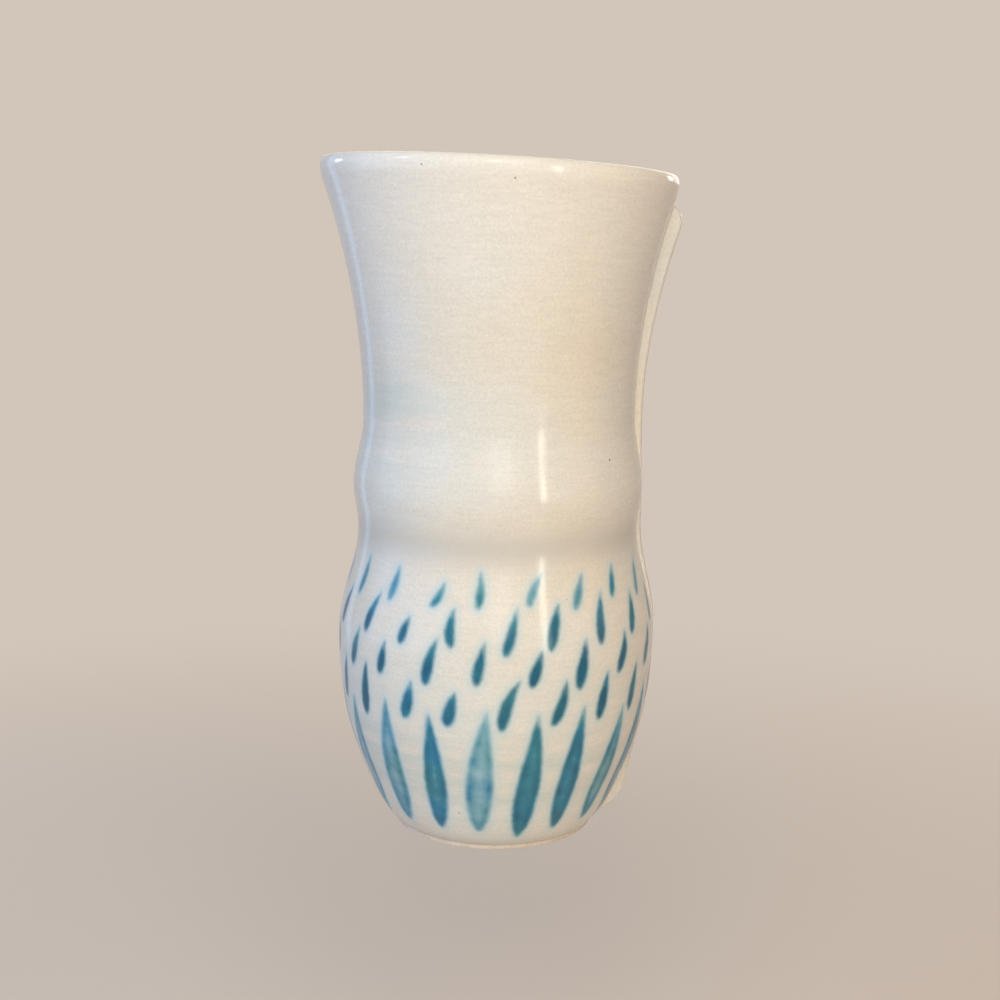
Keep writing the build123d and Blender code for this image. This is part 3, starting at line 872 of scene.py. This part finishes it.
# %% Bare clay
CLAY, CLAY_DARK, CLAY_PALE, GRIT = "#e3d6c4", "#d2c1aa", "#f0e6da", "#9b8872"
CLAY_CLOUD_MM, SPONGE_MM, GRIT_MM, WEAVE_MM = 14.0, 3.0, 2.1, 1.5
CANVAS = np.pi / 10 / (WEAVE_MM * MM)  # a wave texture's band is pi/10 wide at scale 1
CLAY_TONES = {"From Min": 0.35, "From Max": 0.7}
SPONGE_MARKS = {"From Min": 0.5, "From Max": 0.8, "To Max": 0.5}
GRIT_SIZES = {"From Min": 0.72, "To Max": 0.17}
GRIT_EDGE = {"From Min": -0.02, "From Max": 0.07, "To Max": 0.6}
PRINT_SHADE = {"To Min": 0.93, "To Max": 1.0}


def bare_clay(tree, place):
    """Colour and height of fired clay: wide clouds, marks of the sponge, fine grit, and the print of the
    canvas that the slab was rolled on, as two crossing waves."""
    cloud = add(tree, "ShaderNodeTexNoise", {"Vector": place, "Scale": 1000 / CLAY_CLOUD_MM, "Detail": 5.0})
    tone = add(tree, "ShaderNodeMapRange", {"Value": cloud.outputs["Fac"], **CLAY_TONES}).outputs[0]
    sponge = add(tree, "ShaderNodeTexNoise", {"Vector": place, "Scale": 1000 / SPONGE_MM, "Detail": 3.0})
    worn = add(tree, "ShaderNodeMapRange", {"Value": sponge.outputs["Fac"], **SPONGE_MARKS}).outputs[0]
    cells = add(tree, "ShaderNodeTexVoronoi", {"Vector": place, "Scale": 1000 / GRIT_MM})
    chance = add(tree, "ShaderNodeSeparateColor", {0: cells.outputs["Color"]})
    size = add(tree, "ShaderNodeMapRange", {"Value": chance.outputs[0], **GRIT_SIZES})
    into = add(tree, "ShaderNodeMath", {0: size.outputs[0], 1: cells.outputs["Distance"]}, operation="SUBTRACT")
    gritty = add(tree, "ShaderNodeMapRange", {"Value": into.outputs[0], **GRIT_EDGE}).outputs[0]
    colour = linear(CLAY)
    for share, over in ((tone, CLAY_PALE), (worn, CLAY_DARK), (gritty, GRIT)):
        colour = add(tree, "ShaderNodeMix", {
            0: share, MIX_A: colour, MIX_B: linear(over)}, data_type="RGBA").outputs[MIX_OUT]
    weft, warp = (
        add(tree, "ShaderNodeTexWave", {
            "Vector": place, "Scale": CANVAS, "Distortion": 1.5, "Detail": 1.0}, bands_direction=axis)
        for axis in ("X", "Z"))
    weave = add(tree, "ShaderNodeMath", {0: weft.outputs["Fac"], 1: warp.outputs["Fac"]}, operation="MULTIPLY")
    relief = add(tree, "ShaderNodeMix", {0: 0.5, MIX_LOW: weave.outputs[0], MIX_HIGH: sponge.outputs["Fac"]})
    pressed = add(tree, "ShaderNodeMapRange", {"Value": weave.outputs[0], **PRINT_SHADE})
    colour = add(tree, "ShaderNodeMix", {
        0: 1.0, MIX_A: colour, MIX_B: pressed.outputs[0]}, data_type="RGBA", blend_type="MULTIPLY")
    return colour.outputs[MIX_OUT], relief.outputs[0]


print("bare clay: canvas print of", WEAVE_MM, "mm, grit of", GRIT_MM, "mm")

# %% Where the glaze stops
LINE_WAVE_MM, LINE_WAVE_BY = 9.0, 1.2
SLAB_ROUGH, CLAY_ROUGH, CLAY_SKIN_MM = 0.17, 0.85, 0.1
BACK_GLAZED, BACK_BARE = -1.6, -1.3
FOOT_GLAZED, FOOT_BARE = 3.5 - HANG_HEIGHT, 3.0 - HANG_HEIGHT


def glaze_on_clay(name, axis, glazed_mm, bare_mm):
    """Glaze on one side of a wavy line across an axis, bare clay on the other; the two have their own gloss."""
    material, tree, shader = start_material(name)
    place, glaze, glaze_relief = cream_glaze(tree, 0.0)
    clay, clay_relief = bare_clay(tree, place)
    wave = add(tree, "ShaderNodeTexNoise", {"Vector": place, "Scale": 1000 / LINE_WAVE_MM, "Detail": 2.0})
    parts = add(tree, "ShaderNodeSeparateXYZ", {0: place})
    moved = add(tree, "ShaderNodeMath", {
        0: wave.outputs["Fac"], 1: LINE_WAVE_BY * MM, 2: parts.outputs[axis]}, operation="MULTIPLY_ADD")
    bare = add(tree, "ShaderNodeMapRange", {
        "Value": moved.outputs[0], "From Min": glazed_mm * MM, "From Max": bare_mm * MM}).outputs[0]
    colour = add(tree, "ShaderNodeMix", {0: bare, MIX_A: glaze, MIX_B: clay}, data_type="RGBA")
    rough = add(tree, "ShaderNodeMapRange", {"Value": bare, "To Min": SLAB_ROUGH, "To Max": CLAY_ROUGH})
    relief = add(tree, "ShaderNodeMix", {0: bare, MIX_LOW: glaze_relief, MIX_HIGH: clay_relief})
    skin = add(tree, "ShaderNodeBump", {
        "Height": relief.outputs[0], "Strength": 1.0, "Distance": CLAY_SKIN_MM * MM})
    fill(tree, shader, {
        "Base Color": colour.outputs[MIX_OUT],
        "Normal": skin.outputs[0],
        "Roughness": rough.outputs[0],
        "IOR": GLAZE_IOR,
    })
    return material


back_slab.data.materials.append(glaze_on_clay("cream_glaze_wiped_off_the_back", "Y", BACK_GLAZED, BACK_BARE))
base_slab.data.materials.append(glaze_on_clay("bare_stoneware_foot", "Z", FOOT_GLAZED, FOOT_BARE))
print("bare:", back_slab.name, "and", base_slab.name)

# %% Coil glaze
# The inside is rinsed with the same glaze, thinner, so the clay shows through it a little.
RINSE_THIN, RINSE_ROUGH = 0.35, 0.24
rinsed, tree, shader = start_material("thin_cream_glaze")
place, colour, relief = cream_glaze(tree, 0.0)
thin = add(tree, "ShaderNodeMix", {0: RINSE_THIN, MIX_A: colour, MIX_B: linear(CLAY)}, data_type="RGBA")
skin = add(tree, "ShaderNodeBump", {"Height": relief, "Strength": 1.0, "Distance": CLAY_SKIN_MM * MM})
fill(tree, shader, {
    "Base Color": thin.outputs[MIX_OUT],
    "Normal": skin.outputs[0],
    "Roughness": RINSE_ROUGH,
    "IOR": GLAZE_IOR,
})
coils = [piece for piece in bpy.data.objects if piece.name.startswith("pressed_")]
for coil in coils:
    coil.data.materials.append(rinsed)
print("rinsed coils:", len(coils))

# %% [markdown]
# ## Screw and plug
# The screw is zinc-plated steel: a grey metal with faint cloudy spots from the plating bath. The plug is
# moulded nylon, grey and matt, with the fine grain of its mould. The plug's CAD solid has its slits and
# barbs, so it stays and only takes the finish.

# %% Zinc
ZINC_DARK, ZINC_PALE = "#b9bbb8", "#d6d5cd"
BATH_MM = 1.8
ZINC_ROUGH = {"To Min": 0.24, "To Max": 0.42}
zinc, tree, shader = start_material("zinc_plated_steel")
place = add(tree, "ShaderNodeTexCoord").outputs["Object"]
bath = add(tree, "ShaderNodeTexNoise", {"Vector": place, "Scale": 1000 / BATH_MM, "Detail": 4.0}).outputs["Fac"]
colour = add(tree, "ShaderNodeMix", {
    0: bath, MIX_A: linear(ZINC_DARK), MIX_B: linear(ZINC_PALE)}, data_type="RGBA")
rough = add(tree, "ShaderNodeMapRange", {"Value": bath, **ZINC_ROUGH})
fill(tree, shader, {
    "Base Color": colour.outputs[MIX_OUT], "Roughness": rough.outputs[0], "Metallic": 1.0})
screw.data.materials.append(zinc)
print("metal:", zinc.name, "on", screw.name)

# %% Nylon
NYLON_DARK, NYLON_PALE = "#a3a6a8", "#b4b6b6"
FLOW_MM, MOULD_MM, MOULD_SKIN_MM = 5.0, 0.5, 0.03
NYLON_ROUGH, NYLON_IOR = 0.48, 1.53
nylon, tree, shader = start_material("moulded_grey_nylon")
place = add(tree, "ShaderNodeTexCoord").outputs["Object"]
flow = add(tree, "ShaderNodeTexNoise", {"Vector": place, "Scale": 1000 / FLOW_MM, "Detail": 3.0})
colour = add(tree, "ShaderNodeMix", {
    0: flow.outputs["Fac"], MIX_A: linear(NYLON_DARK), MIX_B: linear(NYLON_PALE)}, data_type="RGBA")
mould = add(tree, "ShaderNodeTexNoise", {"Vector": place, "Scale": 1000 / MOULD_MM, "Detail": 2.0})
skin = add(tree, "ShaderNodeBump", {
    "Height": mould.outputs["Fac"], "Strength": 1.0, "Distance": MOULD_SKIN_MM * MM})
fill(tree, shader, {
    "Base Color": colour.outputs[MIX_OUT],
    "Normal": skin.outputs[0],
    "Roughness": NYLON_ROUGH,
    "IOR": NYLON_IOR,
})
plug = frame["nodes"]["wall_plug"]
plug.data.materials.clear()
plug.data.materials.append(nylon)
print("plastic:", nylon.name, "on", plug.name)

# %% [markdown]
# ## Studio
# The vase hangs free over a plain pale floor. The floor fades into the colour of the world far away, so no
# horizon crosses the picture. A wide soft lamp above the front gives the level. It is kept out of
# reflections, because the glaze would show it as a rectangle. A cool window and a warm side tint the two
# flanks, a thin lamp picks out the left edge, and a tall strip draws the upright highlight on the right.
# A small soft lamp glows on the ring, four spots only put glints on the lip, and one lamp behind lights the
# back for views from there.

# %% Floor
BACKDROP, FLOOR_COLOUR = "#d2c5b9", "#f6e7d6"
FLOOR_Z, FLOOR_INNER, FLOOR_REACH = -0.32, 0.05, 7.0
FLOOR_RINGS, FLOOR_SPOKES = 40, 96
FLOOR_ROUGH, FLOOR_FADE = 0.9, {"From Min": 0.25, "From Max": 0.95}
SKY_STRENGTH = 0.1
ring_r = np.concatenate([[0.0], np.geomspace(FLOOR_INNER, FLOOR_REACH, FLOOR_RINGS)])[:, None]
spoke = np.linspace(0, 2 * np.pi, FLOOR_SPOKES, endpoint=False)
floor_grid = np.stack(np.broadcast_arrays(ring_r * np.cos(spoke), ring_r * np.sin(spoke), FLOOR_Z), axis=-1)
floor_mesh = bpy.data.meshes.new("floor")
floor_mesh.from_pydata(floor_grid.reshape(-1, 3), [], grid_faces(*floor_grid.shape[:2], wrap_columns=True))
floor = bpy.data.objects.new("floor", floor_mesh)
bpy.context.scene.collection.objects.link(floor)


def to_the_eye(tree):
    """1 for rays from the camera, a reflection or glass, and 0 for rays that gather light on a dull surface."""
    path = add(tree, "ShaderNodeLightPath")
    seen = path.outputs["Is Camera Ray"]
    for ray in ("Is Glossy Ray", "Is Transmission Ray"):
        seen = add(tree, "ShaderNodeMath", {0: seen, 1: path.outputs[ray]}, operation="MAXIMUM").outputs[0]
    return seen


pale, tree, shader = start_material("pale_floor")
place = add(tree, "ShaderNodeTexCoord").outputs["Object"]
far = add(tree, "ShaderNodeVectorMath", {0: place}, operation="LENGTH")
fade = add(tree, "ShaderNodeMapRange", {
    "Value": far.outputs["Value"], **FLOOR_FADE}, interpolation_type="SMOOTHSTEP")
strength = add(tree, "ShaderNodeMapRange", {"Value": to_the_eye(tree), "To Min": SKY_STRENGTH, "To Max": 1.0})
glow = add(tree, "ShaderNodeEmission", {"Color": linear(BACKDROP), "Strength": strength.outputs[0]})
fill(tree, shader, {"Base Color": linear(FLOOR_COLOUR), "Roughness": FLOOR_ROUGH})
faded = add(tree, "ShaderNodeMixShader", {0: fade.outputs[0], 1: shader.outputs[0], 2: glow.outputs[0]})
output = next(node for node in tree.nodes if node.type == "OUTPUT_MATERIAL")
fill(tree, output, {"Surface": faded.outputs[0]})
floor_mesh.materials.append(pale)
print("floor:", 2 * FLOOR_REACH, "m wide,", len(floor_mesh.polygons), "faces")

# %% World
SKY = "#eceef2"
world = bpy.data.worlds.new("studio")
bpy.context.scene.world = world
world.use_nodes = True
tree = world.node_tree
tree.nodes.clear()
light = add(tree, "ShaderNodeBackground", {"Color": linear(SKY), "Strength": SKY_STRENGTH})
shown = add(tree, "ShaderNodeBackground", {"Color": linear(BACKDROP), "Strength": 1.0})
mixed = add(tree, "ShaderNodeMixShader", {0: to_the_eye(tree), 1: light.outputs[0], 2: shown.outputs[0]})
add(tree, "ShaderNodeOutputWorld", {"Surface": mixed.outputs[0]})
print("world: lights with", SKY_STRENGTH, "and shows", BACKDROP)

# %% Lamps
LOOK_AT = np.array([0.0, -0.03, -0.06])
# name, degrees to the right of the front and up, distance, width and height in metres, watts, colour, and
# whether the glaze mirrors it
LAMPS = (
    ("front_softbox", 8.0, 29.0, 0.95, 0.80, 0.60, 6.8, "#fff6e4", False),
    ("left_window", -66.0, 16.0, 1.10, 1.40, 1.40, 6.0, "#80b8ff", True),
    ("left_edge", -124.0, 4.0, 0.80, 0.10, 0.90, 0.3, "#9cccff", True),
    ("right_strip", 42.5, 6.0, 0.95, 0.07, 0.36, 0.8, "#fff2de", True),
    ("right_side", 78.0, 8.0, 0.95, 0.45, 0.80, 0.6, "#ff9850", True),
    ("back_fill", 176.0, 32.0, 1.10, 1.00, 1.00, 3.6, "#fdf8f0", True),
    ("ring_glow", 10.0, 15.0, 0.95, 0.30, 0.30, 0.35, "#f4f6ff", True),
    ("lip_spot", 6.0, 25.0, 0.90, 0.05, 0.06, 0.45, "#fffaf2", True),
    ("left_lip_spot", -56.0, 22.0, 0.90, 0.10, 0.06, 0.4, "#c8e0ff", True),
    ("left_corner_spot", -112.0, 12.0, 0.90, 0.12, 0.10, 0.3, "#c8e0ff", True),
    ("right_corner_spot", 144.0, 14.0, 0.90, 0.12, 0.12, 0.3, "#fff0dc", True),
)
for name, azimuth, elevation, distance, wide, tall, watts, tint, mirrored in LAMPS:
    a, e = np.radians(azimuth), np.radians(elevation)
    back = np.array([np.sin(a) * np.cos(e), -np.cos(a) * np.cos(e), np.sin(e)])
    sideways = np.array([np.cos(a), np.sin(a), 0.0])
    up = np.cross(back, sideways)
    lamp = bpy.data.lights.new(name, "AREA")
    lamp.shape, lamp.size, lamp.size_y = "RECTANGLE", wide, tall
    lamp.energy, lamp.color = watts, linear(tint)[:3]
    held = bpy.data.objects.new(name, lamp)
    held.visible_glossy = mirrored
    stand = np.eye(4)
    stand[:3, :3] = np.column_stack([sideways, up, back])
    stand[:3, 3] = LOOK_AT + back * distance
    held.matrix_world = Matrix(stand.tolist())
    bpy.context.scene.collection.objects.link(held)
print("lamps:", ", ".join(row[0] for row in LAMPS))

# %% [markdown]
# ## Camera
# The camera was found by matching the pot's outlines in the photograph: a 50 mm lens a little right of
# the vase, just under the height of its rim, tipped down by nine degrees and rolled by less than one.

# %% Camera
CAMERA_M = (0.052, -0.434, 0.0054)
YAW, PITCH, ROLL = np.radians([-6.925, 9.362, 0.795])
SENSOR_MM, LENS_MM = 36.0, 50.4
NEAREST_M, FARTHEST_M = 0.01, 50.0
forward = np.array([np.sin(YAW) * np.cos(PITCH), np.cos(YAW) * np.cos(PITCH), -np.sin(PITCH)])
level = np.array([np.cos(YAW), -np.sin(YAW), 0.0])
upright = np.cross(level, forward)
tripod = np.eye(4)
tripod[:3, 0] = np.cos(ROLL) * level + np.sin(ROLL) * upright
tripod[:3, 1] = -np.sin(ROLL) * level + np.cos(ROLL) * upright
tripod[:3, 2] = -forward
tripod[:3, 3] = CAMERA_M
lens = bpy.data.cameras.new("camera")
lens.sensor_width, lens.lens = SENSOR_MM, LENS_MM
lens.clip_start, lens.clip_end = NEAREST_M, FARTHEST_M
camera = bpy.data.objects.new("camera", lens)
camera.matrix_world = Matrix(tripod.tolist())
bpy.context.scene.collection.objects.link(camera)
bpy.context.scene.camera = camera
bpy.context.scene.view_settings.view_transform = "Standard"
print("camera:", LENS_MM, "mm lens at", CAMERA_M)
